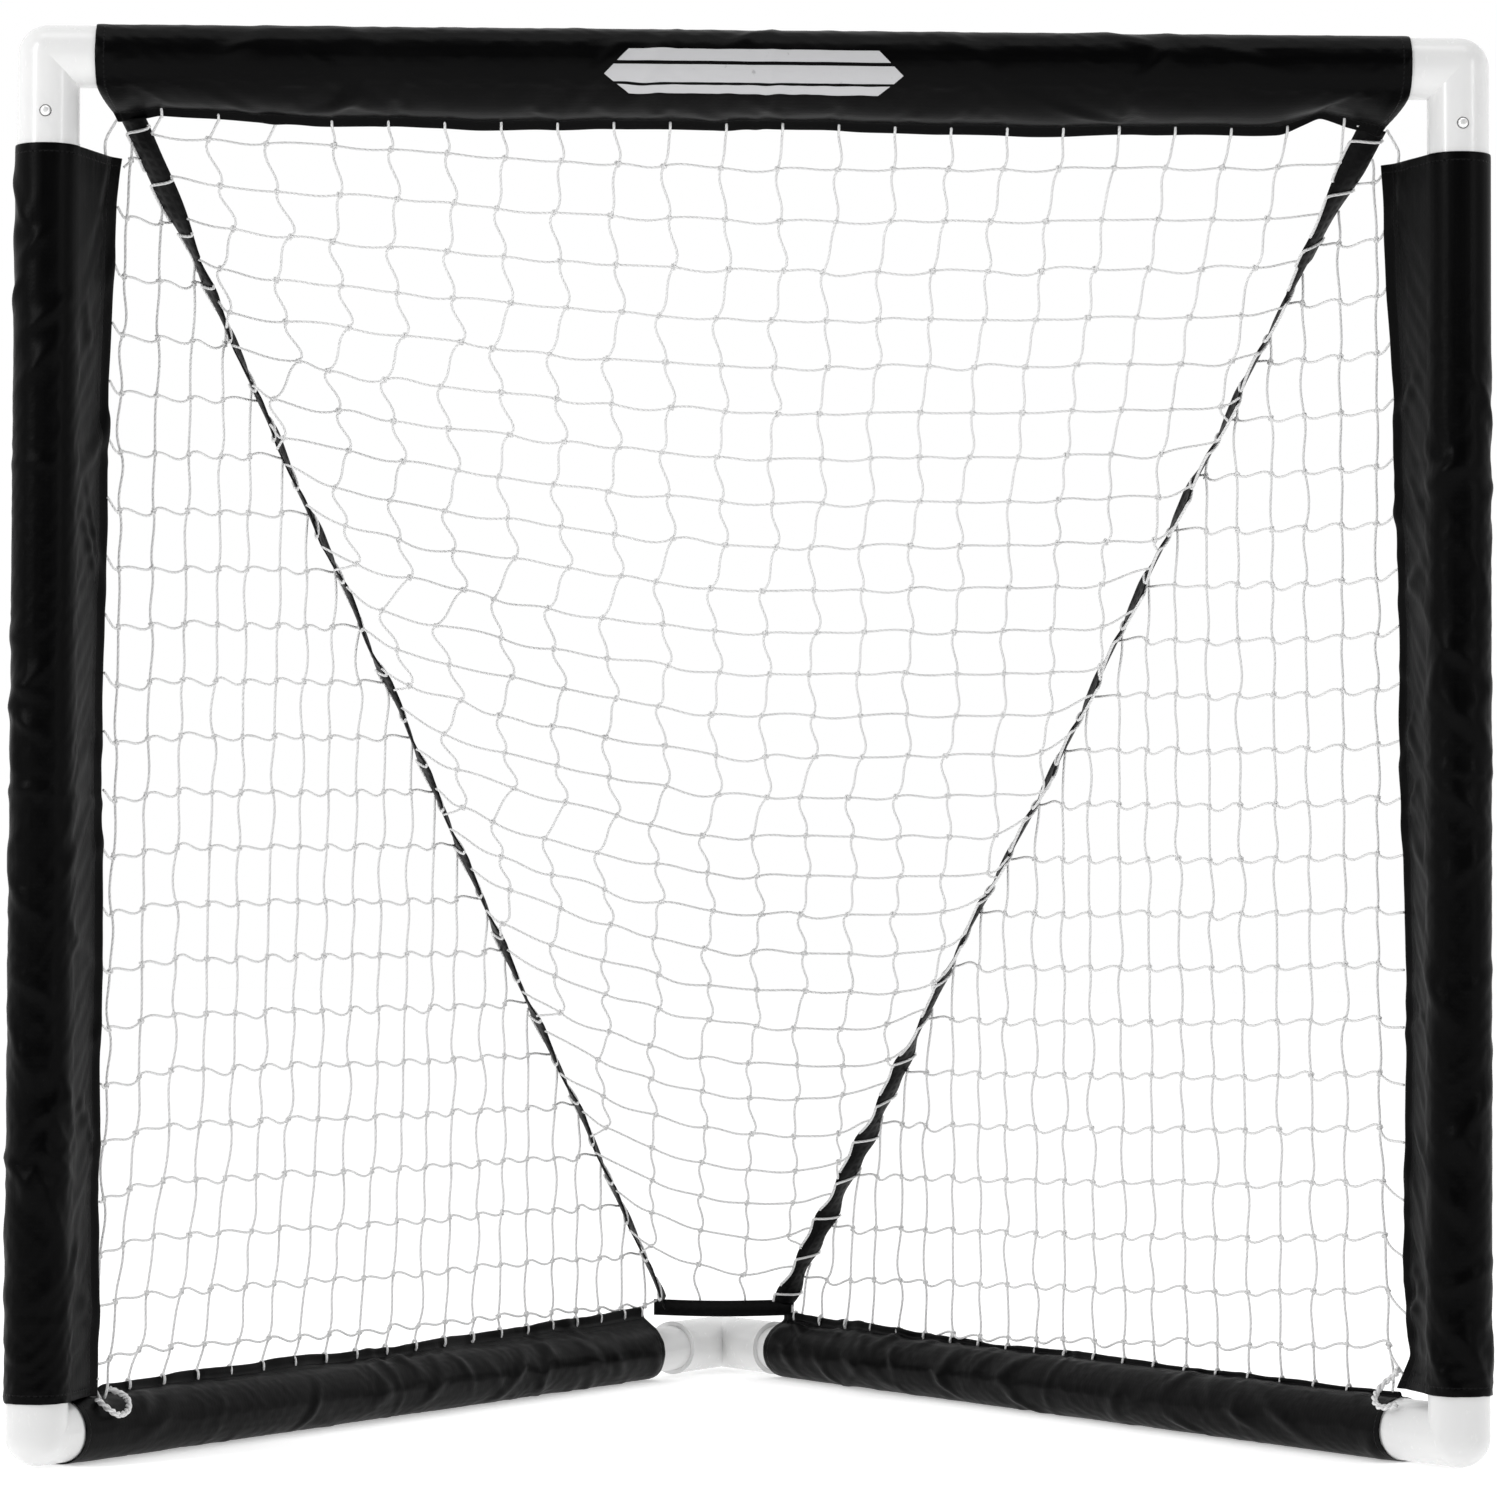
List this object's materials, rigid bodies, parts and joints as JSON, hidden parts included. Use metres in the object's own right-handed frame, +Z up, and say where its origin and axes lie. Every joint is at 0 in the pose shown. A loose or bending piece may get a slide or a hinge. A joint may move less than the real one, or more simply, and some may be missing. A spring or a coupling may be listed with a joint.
{
  "type": "practice goal with net",
  "caption": "Small free-standing practice goal: a slip-together tube frame with a square mouth and a V base, cloth sleeves, straps and a three-panel knotted net.",
  "frame": {"origin": "bottom centre of the whole goal, on the floor", "axes": "+Z up; the open mouth faces -Y and the back corner points to +Y; +X is to the right when looking into the mouth"},
  "size_m": [0.9324, 0.8036, 0.9036],
  "materials": {
    "pipe_plastic": "semi-gloss extruded pipe",
    "fitting_plastic": "semi-gloss moulded fittings",
    "button_steel": "bright zinc plate",
    "spring_steel": "spring strip",
    "sleeve_cloth": "coated woven polyester with a soft sheen",
    "webbing": "flat woven webbing",
    "net_cord": "knotted white cord",
    "tie_cord": "braided white cord"
  },
  "bodies": {
    "frame": {"back_fitting": "fitting_plastic", "back_strap": "webbing", "base_rail_left": "pipe_plastic", "base_rail_right": "pipe_plastic", "base_sleeve_left": "sleeve_cloth", "base_sleeve_right": "sleeve_cloth", "clip_crossbar_left": "spring_steel", "clip_crossbar_right": "spring_steel", "clip_post_bottom_left": "spring_steel", "clip_post_bottom_right": "spring_steel", "clip_post_top_left": "spring_steel", "clip_post_top_right": "spring_steel", "clip_rail_back_left": "spring_steel", "clip_rail_back_right": "spring_steel", "clip_rail_front_left": "spring_steel", "clip_rail_front_right": "spring_steel", "crossbar": "pipe_plastic", "crossbar_sleeve": "sleeve_cloth", "diagonal_strap_left": "webbing", "diagonal_strap_right": "webbing", "elbow_bottom_left": "fitting_plastic", "elbow_bottom_right": "fitting_plastic", "elbow_top_left": "fitting_plastic", "elbow_top_right": "fitting_plastic", "net_back": "net_cord", "net_left": "net_cord", "net_right": "net_cord", "post_left": "pipe_plastic", "post_right": "pipe_plastic", "post_sleeve_left": "sleeve_cloth", "post_sleeve_right": "sleeve_cloth", "tie_bottom_left": "tie_cord", "tie_bottom_right": "tie_cord", "tie_top_left": "tie_cord", "tie_top_right": "tie_cord"},
    "snap_crossbar_left": {"button_crossbar_left": "button_steel"},
    "snap_crossbar_right": {"button_crossbar_right": "button_steel"},
    "snap_post_bottom_left": {"button_post_bottom_left": "button_steel"},
    "snap_post_bottom_right": {"button_post_bottom_right": "button_steel"},
    "snap_post_top_left": {"button_post_top_left": "button_steel"},
    "snap_post_top_right": {"button_post_top_right": "button_steel"},
    "snap_rail_back_left": {"button_rail_back_left": "button_steel"},
    "snap_rail_back_right": {"button_rail_back_right": "button_steel"},
    "snap_rail_front_left": {"button_rail_front_left": "button_steel"},
    "snap_rail_front_right": {"button_rail_front_right": "button_steel"}
  },
  "joints": [
    {"name": "press_crossbar_left", "type": "slide", "parent": "frame", "child": "snap_crossbar_left", "axis": [0, 1, 0], "range_m": [0, 0.005], "stiffness_N_per_m": 1500, "springref_m": -0.002, "deforming": ["clip_crossbar_left"]},
    {"name": "press_crossbar_right", "type": "slide", "parent": "frame", "child": "snap_crossbar_right", "axis": [0, 1, 0], "range_m": [0, 0.005], "stiffness_N_per_m": 1500, "springref_m": -0.002, "deforming": ["clip_crossbar_right"]},
    {"name": "press_post_bottom_left", "type": "slide", "parent": "frame", "child": "snap_post_bottom_left", "axis": [0.8638, -0.5039, 0], "range_m": [0, 0.005], "stiffness_N_per_m": 1500, "springref_m": -0.002, "deforming": ["clip_post_bottom_left"]},
    {"name": "press_post_bottom_right", "type": "slide", "parent": "frame", "child": "snap_post_bottom_right", "axis": [-0.8638, -0.5039, 0], "range_m": [0, 0.005], "stiffness_N_per_m": 1500, "springref_m": -0.002, "deforming": ["clip_post_bottom_right"]},
    {"name": "press_post_top_left", "type": "slide", "parent": "frame", "child": "snap_post_top_left", "axis": [0, 1, 0], "range_m": [0, 0.005], "stiffness_N_per_m": 1500, "springref_m": -0.002, "deforming": ["clip_post_top_left"]},
    {"name": "press_post_top_right", "type": "slide", "parent": "frame", "child": "snap_post_top_right", "axis": [0, 1, 0], "range_m": [0, 0.005], "stiffness_N_per_m": 1500, "springref_m": -0.002, "deforming": ["clip_post_top_right"]},
    {"name": "press_rail_back_left", "type": "slide", "parent": "frame", "child": "snap_rail_back_left", "axis": [0.8638, -0.5039, 0], "range_m": [0, 0.005], "stiffness_N_per_m": 1500, "springref_m": -0.002, "deforming": ["clip_rail_back_left"]},
    {"name": "press_rail_back_right", "type": "slide", "parent": "frame", "child": "snap_rail_back_right", "axis": [-0.8638, -0.5039, 0], "range_m": [0, 0.005], "stiffness_N_per_m": 1500, "springref_m": -0.002, "deforming": ["clip_rail_back_right"]},
    {"name": "press_rail_front_left", "type": "slide", "parent": "frame", "child": "snap_rail_front_left", "axis": [0.8638, -0.5039, 0], "range_m": [0, 0.005], "stiffness_N_per_m": 1500, "springref_m": -0.002, "deforming": ["clip_rail_front_left"]},
    {"name": "press_rail_front_right", "type": "slide", "parent": "frame", "child": "snap_rail_front_right", "axis": [-0.8638, -0.5039, 0], "range_m": [0, 0.005], "stiffness_N_per_m": 1500, "springref_m": -0.002, "deforming": ["clip_rail_front_right"]}
  ]
}
